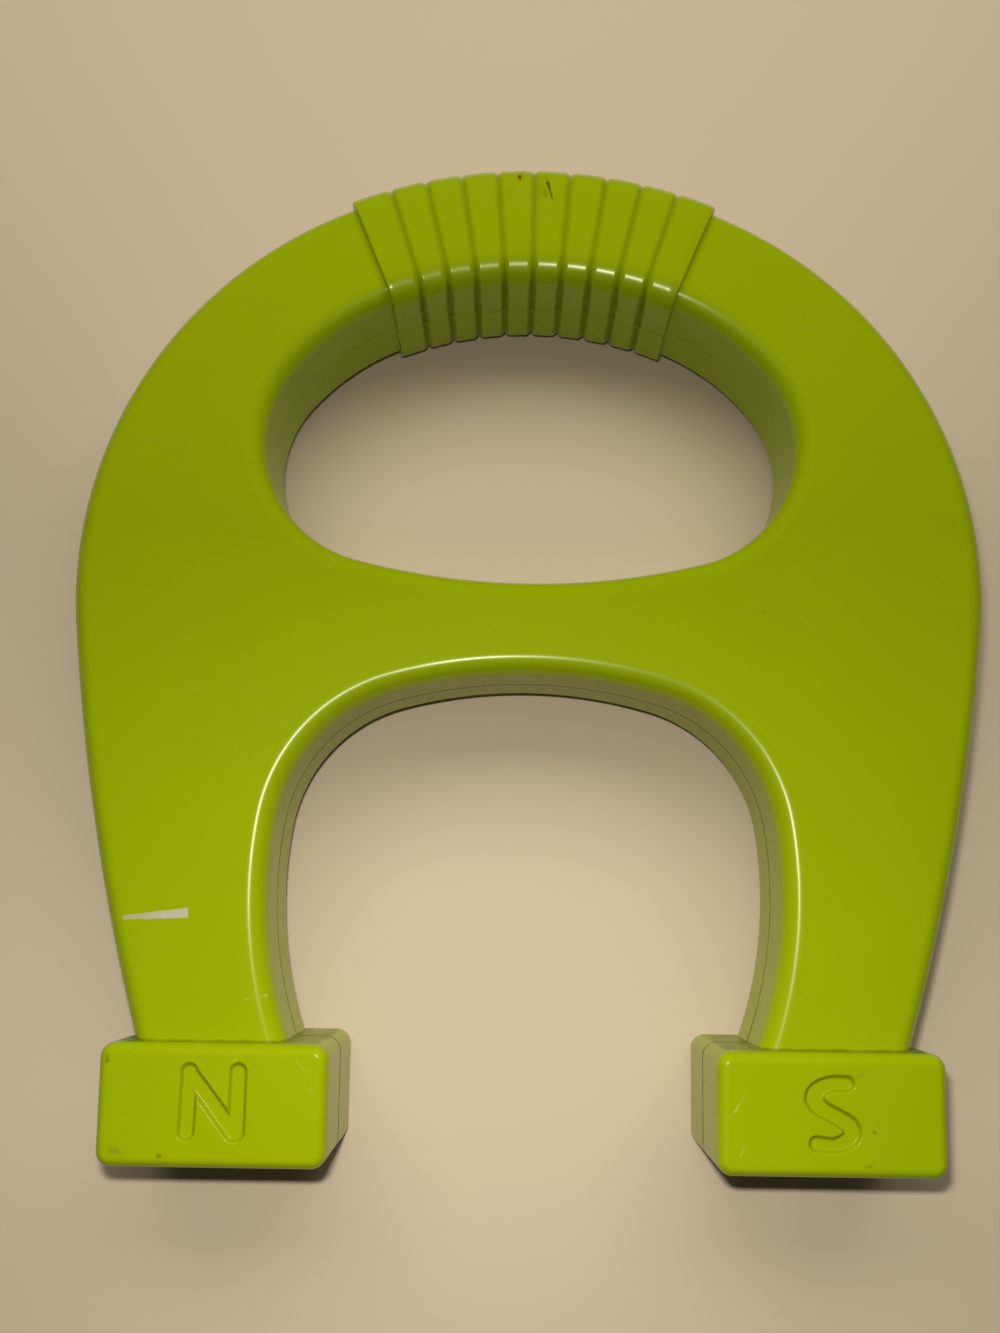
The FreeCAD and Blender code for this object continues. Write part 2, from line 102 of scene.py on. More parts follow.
def alongArcs(arcs, spacing):
    # points and outward normals of a chain of arcs (centre, radius, first bearing, last bearing): each point is the
    # centre plus the radius times its bearing, and the normal points inwards where the bearings fall
    points, normals = [], []
    for centre, radius, first, last in arcs:
        count = max(3, int(math.radians(abs(last - first)) * radius / spacing) + 2)
        rays = bearing(np.linspace(first, last, count))
        points.append(np.asarray(centre) + radius * rays)
        normals.append(rays * (1.0 if last > first else -1.0))
    points, normals = np.vstack(points), np.vstack(normals)
    fresh = np.hypot(*(points - np.roll(points, 1, axis=0)).T) > 1e-6
    return points[fresh], normals[fresh]


def mirroredArcs(arcs):
    return [((-centre[0], centre[1]), radius, -last, -first) for centre, radius, first, last in arcs[::-1]]


def caseOutline():
    # clockwise round the outside: grip, shoulder and leg, then back up through the arch
    shoulderCentre = bearing(case["shoulderStart"]) * (case["gripOuter"] - case["shoulder"])
    foot = np.array(case["legOuterFoot"])
    legCentre = centreBetween(shoulderCentre, case["legOuter"] - case["shoulder"], foot, case["legOuter"])
    shoulderEnd = bearingOf(shoulderCentre - legCentre)
    outer = [
        (shoulderCentre, case["shoulder"], case["shoulderStart"], shoulderEnd),
        (legCentre, case["legOuter"], shoulderEnd, bearingOf(foot - legCentre)),
    ]
    crownCentre = np.array([0.0, case["archTop"] - case["archCrown"]])
    cornerCentre = crownCentre + bearing(case["archSpread"]) * (case["archCrown"] - case["archCorner"])
    foot = np.array(case["legInnerFoot"])
    legCentre = centreBetween(cornerCentre, case["legInner"] - case["archCorner"], foot, case["legInner"])
    cornerEnd = bearingOf(cornerCentre - legCentre)
    arch = [
        (legCentre, case["legInner"], bearingOf(foot - legCentre), cornerEnd),
        (cornerCentre, case["archCorner"], cornerEnd, case["archSpread"]),
    ]
    grip = [((0.0, 0.0), case["gripOuter"], -case["shoulderStart"], case["shoulderStart"])]
    crown = [(crownCentre, case["archCrown"], case["archSpread"], -case["archSpread"])]
    return grip + outer + arch + crown + mirroredArcs(arch) + mirroredArcs(outer)


def holeOutline():
    # anticlockwise round the hand hole, from the middle of its floor
    haunchCentre = bearing(case["haunchStart"]) * (case["gripInner"] - case["haunch"])
    floorCentre = np.array([0.0, case["holeFloorHeight"] + case["holeFloor"]])
    sideCentre = centreBetween(
        haunchCentre, case["haunch"] - case["holeSide"], floorCentre, case["holeFloor"] - case["holeSide"])
    haunchEnd = bearingOf(sideCentre - haunchCentre)
    sideEnd = bearingOf(sideCentre - floorCentre)
    right = [
        (floorCentre, case["holeFloor"], 180.0, sideEnd),
        (sideCentre, case["holeSide"], sideEnd, haunchEnd),
        (haunchCentre, case["haunch"], haunchEnd, case["haunchStart"]),
    ]
    top = [((0.0, 0.0), case["gripInner"], case["haunchStart"], -case["haunchStart"])]
    return right + top + mirroredArcs(right)


def edgeProfile(top, radius, bevel, steps, flat):
    # (inset, height) down a wall: flat strip, quarter round, straight wall, bevel at the seam
    turn = np.linspace(0, math.pi / 2, steps + 1)
    rounded = np.stack([radius - radius * np.sin(turn), top - radius + radius * np.cos(turn)], axis=-1)
    start = np.array([[inset, top] for inset in flat])
    wall = np.array([[0, top - radius - 0.25], [0, bevel + 0.25], [0, bevel], [bevel * 0.8, 0]])
    return np.vstack([start, rounded, wall])


def carryAlong(points, normals, profile):
    # every profile point set in from the path by its inset along the normal: rows follow the profile
    flat = points[None] - profile[:, None, :1] * normals[None]
    height = np.broadcast_to(profile[:, None, 1:], flat.shape[:2] + (1,))
    return np.concatenate([flat, height], axis=-1)


def gridQuads(rows, columns, closed=False):
    # corners of each cell: along the row, then down to the next
    row = np.arange(rows - 1)[:, None]
    column = np.arange(columns if closed else columns - 1)[None]
    nextColumn = (column + 1) % columns
    below = row + 1
    corners = [row * columns + column, row * columns + nextColumn, below * columns + nextColumn, below * columns + column]
    return np.stack(np.broadcast_arrays(*corners), axis=-1).reshape(-1, 4)


def fillFlat(loops, upwards):
    # triangles between an outer loop and the holes in it, all facing one way
    vectors = [[Vector((*point[:2], 0)) for point in loop] for loop in loops]
    faces = np.array(geometry.tessellate_polygon(vectors))
    points = np.vstack(loops)
    a, b, c = (points[faces[:, corner], :2] for corner in range(3))
    area = (b - a)[:, 0] * (c - a)[:, 1] - (b - a)[:, 1] * (c - a)[:, 0]
    turned = (area < 0) == upwards
    faces[turned] = faces[turned][:, ::-1]
    return points, faces[np.abs(area) > 1e-9]


def caseBody():
    # the flat horseshoe: both outlines carried down the wall profile, closed by a flat face above and below
    profile = edgeProfile(case["halfThickness"], case["edgeRadius"], case["seamBevel"], case["edgeSteps"],
                          (case["edgeRadius"] + 0.6, case["edgeRadius"] + 0.2))
    parts, tops, seams = [], [], []
    for arcs in (caseOutline(), holeOutline()):
        points, normals = alongArcs(arcs, case["spacing"])
        rim = carryAlong(points, normals, profile)
        parts.append((rim.reshape(-1, 3), [gridQuads(rim.shape[0], rim.shape[1], closed=True)]))
        tops.append(rim[0])
        seams.append(rim[-1])
    for loops, upwards in ((tops, True), (seams, False)):
        points, faces = fillFlat(loops, upwards)
        parts.append((points, [faces]))
    return parts


def strokeDistance(x, y, stroke):
    # distance from a chain of round-ended segments whose radius changes from joint to joint, negative inside
    nearest = np.full(x.shape, 1e3)
    for (ax, ay, ar), (bx, by, br) in zip(stroke, stroke[1:]):
        dx, dy = bx - ax, by - ay
        share = np.clip(((x - ax) * dx + (y - ay) * dy) / (dx * dx + dy * dy), 0, 1)
        away = np.hypot(x - ax - share * dx, y - ay - share * dy) - (ar + share * (br - ar))
        nearest = np.minimum(nearest, away)
    return nearest


def spacedLine(low, high, marked):
    # places from low to high in even coarse steps, and in fine ones along the marked stretch
    stops = [low, *(marked or []), high]
    steps = [tips["coarseStep"], tips["fineStep"], tips["coarseStep"]]
    pieces = [np.linspace(a, b, int((b - a) / step) + 2)[:-1] for a, b, step in zip(stops, stops[1:], steps)]
    return np.concatenate([*pieces, [high]])


def tipBlock(side, strokes):
    # a block with rounded corners and edges, with a fine grid on top where its letter is sunk
    cx, cy = side * tips["centreX"], tips["centreY"]
    flatX, flatY = tips["halfWidth"] - tips["cornerRadius"], tips["halfDepth"] - tips["cornerRadius"]
    spans = [None, None]
    if strokes:
        points = np.vstack(strokes)
        reach = points[:, 2:] + letters["wall"] / 2
        spans = np.stack([(points[:, :2] - reach).min(axis=0), (points[:, :2] + reach).max(axis=0)], axis=-1).tolist()
    xs = spacedLine(cx - flatX, cx + flatX, spans[0])
    ys = spacedLine(cy - flatY, cy + flatY, spans[1])[::-1]
    x, y = np.meshgrid(xs, ys)
    z = np.full(x.shape, tips["top"])
    if strokes:
        distance = np.min([strokeDistance(x, y, stroke) for stroke in strokes], axis=0)
        share = np.clip(0.5 - distance / letters["wall"], 0, 1)
        z = z - letters["depth"] * share * share * (3 - 2 * share)
    face = np.stack([x, y, z], axis=-1)
    parts = [(face.reshape(-1, 3), [gridQuads(len(ys), len(xs))[:, ::-1]])]

    # the border of that grid, clockwise, with a fan of directions at each corner
    fan = np.linspace(0, 90, tips["cornerSteps"] + 1)
    border, directions = [], []
    sides = (
        (np.stack([xs, np.full_like(xs, ys[0])], axis=-1), 0),
        (np.stack([np.full_like(ys, xs[-1]), ys], axis=-1), 90),
        (np.stack([xs[::-1], np.full_like(xs, ys[-1])], axis=-1), 180),
        (np.stack([np.full_like(ys, xs[0]), ys[::-1]], axis=-1), 270),
    )
    for line, facing in sides:
        border += [line, np.repeat(line[-1:], len(fan) - 2, axis=0)]
        directions += [np.repeat(bearing(facing)[None], len(line), axis=0), bearing(facing + fan[1:-1])]
    border, directions = np.vstack(border), np.vstack(directions)
    profile = edgeProfile(tips["top"], tips["edgeRadius"], case["seamBevel"], tips["edgeSteps"],
                          (tips["cornerRadius"], tips["edgeRadius"] + 0.15))
    wall = carryAlong(border + tips["cornerRadius"] * directions, directions, profile)
    parts.append((wall.reshape(-1, 3), [gridQuads(wall.shape[0], wall.shape[1], closed=True)]))
    parts.append((wall[-1], [np.arange(wall.shape[1])[None, ::-1]]))
    return parts


def gripBand():
    # the section of the raised band carried round the grip's centre, drawn in along its normals by each groove
    turn = np.linspace(0, math.pi / 2, ribs["cornerSteps"] + 1)
    corner, top, bevel = ribs["corner"], ribs["top"], case["seamBevel"]
    low, high = ribs["inner"] + corner, ribs["outer"] - corner
    rise = top - corner
    inner = np.stack([low - corner * np.cos(turn), rise + corner * np.sin(turn)], axis=-1)
    outer = np.stack([high + corner * np.sin(turn), rise + corner * np.cos(turn)], axis=-1)
    across = np.linspace(low, high, 8)[1:-1]
    heights = np.linspace(bevel, rise, 5)[:-1]
    section = np.vstack([
        [[ribs["inner"] + 0.8 * bevel, 0]],
        np.stack([np.full_like(heights, ribs["inner"]), heights], axis=-1), inner,
        np.stack([across, np.full_like(across, top)], axis=-1), outer,
        np.stack([np.full_like(heights, ribs["outer"]), heights[::-1]], axis=-1),
        [[ribs["outer"] - 0.8 * bevel, 0]],
    ])
    walls = len(heights) + 1
    facing = np.concatenate([np.full(walls, -90.0), -90 + np.degrees(turn), np.zeros(len(across)),
                             np.degrees(turn), np.full(walls, 90.0)])
    normals = bearing(facing)
    onWall = np.abs(normals[:, 0]) ** 1.5
    wallDepth = np.where(normals[:, 0] > 0, ribs["outerShare"], 1) * ribs["wallDepth"]

    grooves = (np.arange(ribs["count"] - 1) - (ribs["count"] - 2) / 2) * ribs["pitch"]
    end = (ribs["count"] - 2) * ribs["pitch"] / 2 + ribs["endSpread"]
    fine = np.concatenate([np.linspace(-0.98, 0.98, 31), np.linspace(0.98, ribs["pitch"] - 0.98, 7)[1:-1]])
    angles = (grooves[:, None] + fine[None]).ravel()
    edge = np.array([0, 0.03, 0.08, 0.15, 0.25])
    angles = np.concatenate([angles[angles < end - 0.3], end - edge, edge - end,
                             grooves[0] - np.linspace(0.98, ribs["endSpread"] - 0.3, 7)])
    angles = np.unique(np.round(angles, 6))

    radius = section[None, :, 0]
    apart = radius * np.radians(np.abs(angles[:, None, None] - grooves[None, None, :]).min(axis=-1))
    vee = ribs["faceDepth"] * np.clip(1 - apart / ribs["faceGroove"], 0, 1) ** 1.5
    channel = wallDepth * np.clip(1 - apart / ribs["wallGroove"], 0, 1) ** 1.2
    fromEnd = radius * np.radians(end - np.abs(angles))[:, None]
    slope = np.clip(1 - fromEnd / ribs["endRound"], 0, 1)
    drop = vee * (1 - onWall) + channel * onWall + ribs["endRound"] * (1 - np.sqrt(1 - slope ** 2))
    r = section[:, 0] - drop * normals[:, 0]
    z = section[:, 1] - drop * np.maximum(normals[:, 1], 0)
    rays = bearing(angles)
    points = np.stack([r * rays[:, :1], r * rays[:, 1:], z], axis=-1)
    columns = points.shape[1]
    quads = gridQuads(points.shape[0], columns, closed=True)[:, ::-1]
    ends = [np.arange(columns)[None], (len(angles) - 1) * columns + np.arange(columns)[None, ::-1]]
    return [(points.reshape(-1, 3), [quads, *ends])]


def tidyFaces(faces):
    # drops a repeated corner, and any face with fewer than three left
    if faces.shape[1] != 4:
        return [face for face in faces.tolist()]
    repeated = faces == np.roll(faces, -1, axis=1)
    count = repeated.sum(axis=1)
    triangles = faces[count == 1][~repeated[count == 1]].reshape(-1, 3)
    return faces[count == 0].tolist() + triangles.tolist()


def makePiece(name, parts, turnedOver=False):
    # joins the parts into one mesh, welding the points that each part shares
    polygons, vertices, start = [], [], 0
    for points, faceSets in parts:
        points = points + 0.0
        keys, first, inverse = np.unique(np.round(points, 5), axis=0, return_index=True, return_inverse=True)
        inverse = inverse.reshape(-1)
        for faces in faceSets:
            polygons += tidyFaces(inverse[faces] + start)
        vertices.append(points[first])
        start += len(first)
    vertices = np.vstack(vertices)
    if turnedOver:
        vertices = vertices * [-1, 1, -1]
    vertices = (vertices + [0, place["middleY"], place["seamHeight"]]) * mm
    mesh = bpy.data.meshes.new(name)
    mesh.from_pydata(vertices.tolist(), [], polygons)
    mesh.validate()
    mesh.shade_smooth()
    mesh.set_sharp_from_angle(angle=math.radians(32))
    piece = bpy.data.objects.new(name, mesh)
    bpy.context.scene.collection.objects.link(piece)
    print(f"{name}: {len(vertices)} points, {sum(len(face) - 2 for face in polygons)} triangles")
    return piece


def joined(*groups):
    # parts that share a border are welded by being one part
    points, faceSets, start = [], [], 0
    for group in groups:
        for part, faces in group:
            points.append(part)
            faceSets += [face + start for face in faces]
            start += len(part)
    return (np.vstack(points), faceSets)


def smoothStroke(stroke, steps=5):
    # a rounder chain through the same points: between two neighbours the curve is the cubic whose slope at each
    # point is half the step from the point before to the point after
    if len(stroke) < 3:
        return stroke
    points = np.array(stroke)
    slopes = np.gradient(points, axis=0)
    t = np.linspace(0, 1, steps, endpoint=False)[:, None, None]
    here, there, slopeHere, slopeThere = points[:-1], points[1:], slopes[:-1], slopes[1:]
    curve = ((2 * t ** 3 - 3 * t ** 2 + 1) * here + (t ** 3 - 2 * t ** 2 + t) * slopeHere
             + (3 * t ** 2 - 2 * t ** 3) * there + (t ** 3 - t ** 2) * slopeThere)
    return [*curve.transpose(1, 0, 2).reshape(-1, 3).tolist(), stroke[-1]]


strokesN = [smoothStroke(stroke) for stroke in letters["north"]]
strokesS = [smoothStroke(stroke) for stroke in letters["south"]]

frontCase = makePiece("front_case", [
    joined(caseBody()), joined(tipBlock(-1, strokesN)), joined(tipBlock(1, strokesS)), joined(gripBand())])
backCase = makePiece("back_case", [
    joined(caseBody()), joined(tipBlock(-1, None)), joined(tipBlock(1, None)), joined(gripBand())], turnedOver=True)
for piece, node in ((frontCase, "front_shell"), (backCase, "back_shell")):
    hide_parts(node)
    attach(piece, "root")


print("materials")


class Board:
    # a node tree with short calls: add(kind, settings, inputs) puts in a node and links or sets its inputs

    def __init__(self, tree):
        self.tree = tree

    def add(self, kind, settings=None, inputs=None):
        node = self.tree.nodes.new(kind)
        for key, value in (settings or {}).items():
            setattr(node, key, value)
        for key, value in (inputs or {}).items():
            if isinstance(value, bpy.types.NodeSocket):
                self.tree.links.new(value, node.inputs[key])
            else:
                node.inputs[key].default_value = value
        return node

    def math(self, operation, *values, clamp=False):
        node = self.add("ShaderNodeMath", {"operation": operation, "use_clamp": clamp}, dict(enumerate(values)))
        return node.outputs[0]

    def vector(self, operation, *values):
        node = self.add("ShaderNodeVectorMath", {"operation": operation}, dict(enumerate(values)))
        return node.outputs["Value" if operation in ("DOT_PRODUCT", "LENGTH", "DISTANCE") else "Vector"]

    def noise(self, position, scale, detail=2.0, roughness=0.5):
        node = self.add("ShaderNodeTexNoise", None, {
            "Vector": position, "Scale": scale, "Detail": detail, "Roughness": roughness})
        return node.outputs["Fac"]

    def ramp(self, value, low, high, smooth=True):
        # 0 below low and 1 above high, or the other way round where low is the larger
        node = self.add("ShaderNodeMapRange", {"interpolation_type": "SMOOTHSTEP" if smooth else "LINEAR"}, {
            "Value": value, "From Min": low, "From Max": high})
        return node.outputs["Result"]

    def mix(self, share, first, second):
        node = self.add("ShaderNodeMix", {"data_type": "RGBA"})
        for name, value in (("Factor_Float", share), ("A_Color", first), ("B_Color", second)):
            socket = next(item for item in node.inputs if item.identifier == name)
            if isinstance(value, bpy.types.NodeSocket):
                self.tree.links.new(value, socket)
            else:
                socket.default_value = value
        return next(item for item in node.outputs if item.identifier == "Result_Color")


def newGroup(name, inputs, outputs):
    tree = bpy.data.node_groups.new(name, "ShaderNodeTree")
    for label, kind, value in inputs:
        socket = tree.interface.new_socket(label, in_out="INPUT", socket_type=kind)
        socket.default_value = value
    for label in outputs:
        tree.interface.new_socket(label, in_out="OUTPUT", socket_type="NodeSocketFloat")
    start, end = tree.nodes.new("NodeGroupInput"), tree.nodes.new("NodeGroupOutput")
    return tree, Board(tree), start.outputs, end


def strokeMarkGroup():
    # a mark along a line from Start to End: the distance to the line against a width that changes along it
    tree, board, given, end = newGroup("stroke_mark", [
        ("Position", "NodeSocketVector", (0, 0, 0)), ("Start", "NodeSocketVector", (0, 0, 0)),
        ("End", "NodeSocketVector", (0, 0, 0)), ("Start Width", "NodeSocketFloat", 0.001),
        ("End Width", "NodeSocketFloat", 0.001), ("Softness", "NodeSocketFloat", 0.0003),
        ("Ragged", "NodeSocketFloat", 0.0002), ("Ragged Scale", "NodeSocketFloat", 900.0),
        ("Strength", "NodeSocketFloat", 1.0), ("Square End", "NodeSocketFloat", 0.0),
    ], ["Mask"])
    line = board.vector("SUBTRACT", given["End"], given["Start"])
    away = board.vector("SUBTRACT", given["Position"], given["Start"])
    reach = board.math("DIVIDE", board.vector("DOT_PRODUCT", away, line), board.vector("DOT_PRODUCT", line, line))
    share = board.math("MAXIMUM", board.math("MINIMUM", reach, 1.0), 0.0)
    scaled = board.add("ShaderNodeVectorMath", {"operation": "SCALE"}, {"Vector": line, "Scale": share}).outputs[0]
    distance = board.vector("DISTANCE", away, scaled)
    width = board.add("ShaderNodeMapRange", None, {
        "Value": share, "To Min": given["Start Width"], "To Max": given["End Width"]}).outputs["Result"]
    wobble = board.math("SUBTRACT", board.noise(given["Position"], given["Ragged Scale"]), 0.5)
    distance = board.math("MULTIPLY_ADD", wobble, given["Ragged"], distance)
    inside = board.math("DIVIDE", board.math("SUBTRACT", width, distance), given["Softness"])
    mask = board.math("ADD", inside, 0.5, clamp=True)
    beyond = board.math("MULTIPLY", board.ramp(reach, 0.99, 1.01), given["Square End"])
    mask = board.math("MULTIPLY", mask, board.math("SUBTRACT", 1.0, beyond))
    tree.links.new(board.math("MULTIPLY", mask, given["Strength"]), end.inputs["Mask"])
    return tree


def mouldGrainGroup():
    # Grain is a fine even roughness of the moulding, Streaks its drawn-out lines down the walls, Sparkle sparse
    # bright dots used as painted glints, Mottle slow changes of tone
    tree, board, given, end = newGroup("mould_grain_and_glints", [
        ("Position", "NodeSocketVector", (0, 0, 0)), ("Grain Scale", "NodeSocketFloat", 2600.0),
        ("Sparkle Scale", "NodeSocketFloat", 1500.0), ("Mottle Scale", "NodeSocketFloat", 45.0),
        ("Streak Scale", "NodeSocketFloat", 1150.0),
    ], ["Grain", "Streaks", "Sparkle", "Mottle"])
    tree.links.new(board.noise(given["Position"], given["Grain Scale"], 3.0, 0.6), end.inputs["Grain"])
    drawn = board.vector("MULTIPLY", given["Position"], (1, 1, 0.35))
    tree.links.new(board.noise(drawn, given["Streak Scale"], 2.0, 0.6), end.inputs["Streaks"])
    cells = board.add("ShaderNodeTexVoronoi", None, {"Vector": given["Position"], "Scale": given["Sparkle Scale"]})
    chosen = board.add("ShaderNodeSeparateColor", None, {"Color": cells.outputs["Color"]}).outputs["Red"]
    dots = board.math("MULTIPLY", board.ramp(cells.outputs["Distance"], 0.34, 0.12), board.ramp(chosen, 0.72, 0.9))
    tree.links.new(dots, end.inputs["Sparkle"])
    tree.links.new(board.noise(given["Position"], given["Mottle Scale"], 4.0, 0.55), end.inputs["Mottle"])
    return tree


def hairlineGroup():
    # short faint hairlines: noise stretched along one direction, kept where it is highest and where a slow noise lets it
    tree, board, given, end = newGroup("hairlines", [
        ("Position", "NodeSocketVector", (0, 0, 0)), ("Turn", "NodeSocketFloat", 0.0),
        ("Length", "NodeSocketFloat", 0.008), ("Width", "NodeSocketFloat", 0.00022),
        ("Amount", "NodeSocketFloat", 0.5),
    ], ["Mask"])
    turned = board.add("ShaderNodeVectorRotate", {"rotation_type": "Z_AXIS"}, {
        "Vector": given["Position"], "Angle": given["Turn"]}).outputs["Vector"]
    stretch = board.add("ShaderNodeCombineXYZ", None, {
        "X": board.math("DIVIDE", 1.0, given["Length"]), "Y": board.math("DIVIDE", 1.0, given["Width"]), "Z": 60.0})
    streaks = board.noise(board.vector("MULTIPLY", turned, stretch.outputs[0]), 1.0, 1.0)
    where = board.noise(given["Position"], 38.0, 1.0)
    kept = board.math("MULTIPLY", board.ramp(streaks, 0.67, 0.77), board.ramp(where, 0.48, 0.62))
    tree.links.new(board.math("MULTIPLY", kept, given["Amount"]), end.inputs["Mask"])
    return tree


def speckGroup():
    # sparse round specks: the distance to the nearest of scattered points, for the few cells that a random value picks
    tree, board, given, end = newGroup("specks", [
        ("Position", "NodeSocketVector", (0, 0, 0)), ("Cell", "NodeSocketFloat", 0.009),
        ("Radius", "NodeSocketFloat", 0.0004), ("Chosen", "NodeSocketFloat", 0.2),
    ], ["Mask"])
    scale = board.math("DIVIDE", 1.0, given["Cell"])
    cells = board.add("ShaderNodeTexVoronoi", None, {"Vector": given["Position"], "Scale": scale})
    picked = board.add("ShaderNodeSeparateColor", None, {"Color": cells.outputs["Color"]})
    size = board.math("MULTIPLY", board.math("MULTIPLY", given["Radius"], scale), picked.outputs["Green"])
    dots = board.math("SUBTRACT", 1.0, board.math("DIVIDE", cells.outputs["Distance"], size), clamp=True)
    keep = board.math("LESS_THAN", picked.outputs["Red"], given["Chosen"])
    tree.links.new(board.math("MULTIPLY", dots, keep), end.inputs["Mask"])
    return tree


def bandGroup():
    # a line of dirt on a plane through the piece: the distance of one coordinate from a level against a ragged width
    tree, board, given, end = newGroup("dirt_band", [
        ("Position", "NodeSocketVector", (0, 0, 0)), ("Coordinate", "NodeSocketFloat", 0.0),
        ("Level", "NodeSocketFloat", 0.0), ("Width", "NodeSocketFloat", 0.0005), ("Ragged", "NodeSocketFloat", 0.6),
        ("Softness", "NodeSocketFloat", 0.0002),
    ], ["Mask"])
    away = board.math("ABSOLUTE", board.math("SUBTRACT", given["Coordinate"], given["Level"]))
    wobble = board.math("SUBTRACT", board.noise(given["Position"], 420.0, 3.0), 0.5)
    width = board.math("MULTIPLY", given["Width"], board.math("MULTIPLY_ADD", wobble, given["Ragged"], 1.0))
    inside = board.math("DIVIDE", board.math("SUBTRACT", width, away), given["Softness"])
    tree.links.new(board.math("ADD", inside, 0.5, clamp=True), end.inputs["Mask"])
    return tree


groups = {
    "stroke": strokeMarkGroup(), "grain": mouldGrainGroup(), "hairline": hairlineGroup(), "speck": speckGroup(),
    "band": bandGroup(),
}

# Marks that the photograph shows, as (start, end, start width, end width, softness, ragged, strength) in millimetres.
marks = {
    "scuff": [((-80.4, -57.45, 27.5), (-67.7, -56.3, 27.5), 0.45, 1.0, 0.22, 0.35, 1)],
    "scratches": [
        ((-55.4, -73.4, 27.5), (-51.3, -72.5, 26.6), 0.06, 0.2, 0.3, 0.08, 1),
        ((40.7, -94.0, 31), (43.8, -89.1, 31), 0.02, 0.02, 0.25, 0.15, 0.6),
        ((41.2, -93.2, 31), (42.2, -91.6, 31), 0.1, 0.06, 0.25, 0.1, 1),
        ((42.2, -101.7, 31), (43.1, -99.6, 31), 0.02, 0.05, 0.3, 0.1, 0.7),
        ((-48.9, -85.0, 31), (-47.4, -86.6, 31), 0.02, 0.01, 0.35, 0.25, 0.32),
        ((-50.6, -84.6, 31), (-49.9, -85.4, 31), 0.03, 0.01, 0.35, 0.25, 0.28),
        ((-44.6, -84.3, 31), (-42.4, -86.7, 31), 0.01, 0.03, 0.3, 0.25, 0.45),
        ((-43.0, -85.9, 31), (-41.6, -88.0, 31), 0.01, 0.01, 0.35, 0.25, 0.3),
        ((-41.4, -90.2, 31), (-40.6, -91.5, 31), 0.02, 0.04, 0.3, 0.25, 0.5),
        ((-43.8, -88.0, 31), (-42.4, -89.4, 31), 0.01, 0.03, 0.35, 0.25, 0.35),
        ((-46.2, -87.1, 31), (-45.4, -88.2, 31), 0.01, 0.01, 0.35, 0.25, 0.25),
        ((-56.2, -84.6, 31), (-55.9, -84.8, 31), 0.08, 0.08, 0.3, 0.1, 0.8),
    ],
    "dents": [((65.2, -86.3, 31), (68.0, -84.5, 31), 0.16, 0.08, 0.45, 0.15, 1)],
    "smears": [
        ((2.5, 102.0, 28.7), (2.8, 100.3, 29), 0.22, 0.2, 0.5, 0.7, 0.7),
        ((2.9, 100.2, 29), (3.9, 96.6, 29), 0.36, 0.1, 0.35, 0.5, 1.3),
        ((2.3, 98.9, 29), (2.5, 97.2, 29), 0.3, 0.3, 0.8, 0.7, 0.55),
        ((1.0, 101.5, 28.8), (1.3, 97.6, 29), 0.5, 0.9, 1.4, 1.0, 0.22),
        ((-91.2, -4.3, 26.5), (-90.9, -6.8, 26.5), 0.25, 0.45, 0.9, 0.8, 1),
        ((-81.1, -84.3, 31), (-81.0, -85.2, 31), 0.22, 0.28, 0.9, 0.7, 0.85),
        ((-70.4, -103.2, 31), (-69.9, -103.3, 31), 0.25, 0.25, 0.5, 0.4, 1),
        ((-79.4, -102.3, 31), (-78.4, -102.5, 31), 0.4, 0.4, 1.2, 0.8, 0.5),
        ((68.2, -96.6, 31), (68.4, -96.7, 31), 0.2, 0.2, 0.45, 0.2, 1.1),
        ((66.7, -103.1, 31), (67.6, -103.2, 31), 0.15, 0.2, 0.7, 0.5, 0.6),
        ((-58.5, 38.3, 27.5), (-58.4, 38.1, 27.5), 0.12, 0.12, 0.5, 0.2, 1),
    ],
    "spots": [
        ((-3.4, 104.3, 27.2), (-2.5, 104.3, 27.2), 0.5, 0.6, 0.45, 0.5, 1),
        ((-3.2, 102.1, 28.7), (-3.1, 101.3, 28.8), 0.34, 0.3, 0.35, 0.3, 1),
        ((-3.1, 103.8, 27.8), (-3.1, 101.2, 28.8), 0.7, 0.7, 1.2, 0.6, 0.25),
    ],
}

# The darkest colour here serves both for grime and for the painted shade in the grooves and on the letters; the pale
# scratch colour also paints glints on the walls.
plastic = {
    "lime": (0.305, 0.385, 0.0005), "deepLime": (0.28, 0.358, 0.0005), "scuff": (0.49, 0.46, 0.31),
    "scratchAndGlint": (0.62, 0.68, 0.14), "grimeAndShade": (0.035, 0.038, 0.004), "spot": (0.095, 0.022, 0.002),
    "seam": (0.026, 0.020, 0.007), "roughness": 0.235, "streaks": 16.0, "grain": 1.2,
    "glossTint": (1, 0.98, 0.6), "wallShade": 0.34, "faceShade": 0.2,
    "letterShade": 0.2,
}


def newMaterial(name):
    material = bpy.data.materials.new(name)
    material.use_nodes = True
    return material, Board(material.node_tree), material.node_tree.nodes["Principled BSDF"]


def useGroup(board, name, position, **inputs):
    node = board.add("ShaderNodeGroup", {"node_tree": groups[name]})
    values = {key.replace("_", " "): value for key, value in inputs.items()}
    for key, value in {"Position": position, **values}.items():
        if isinstance(value, bpy.types.NodeSocket):
            board.tree.links.new(value, node.inputs[key])
        else:
            node.inputs[key].default_value = value
    return node.outputs


def markMask(board, position, name, square=0.0):
    # the strongest of a list of marks at each point
    total = None
    for start, end, first, last, softness, ragged, strength in marks[name]:
        mask = useGroup(
            board, "stroke", position, Start=[value * mm for value in start], End=[value * mm for value in end],
            Start_Width=first * mm, End_Width=last * mm, Softness=softness * mm, Ragged=ragged * mm,
            Strength=strength, Square_End=square)["Mask"]
        total = mask if total is None else board.math("MAXIMUM", total, mask)
    return total


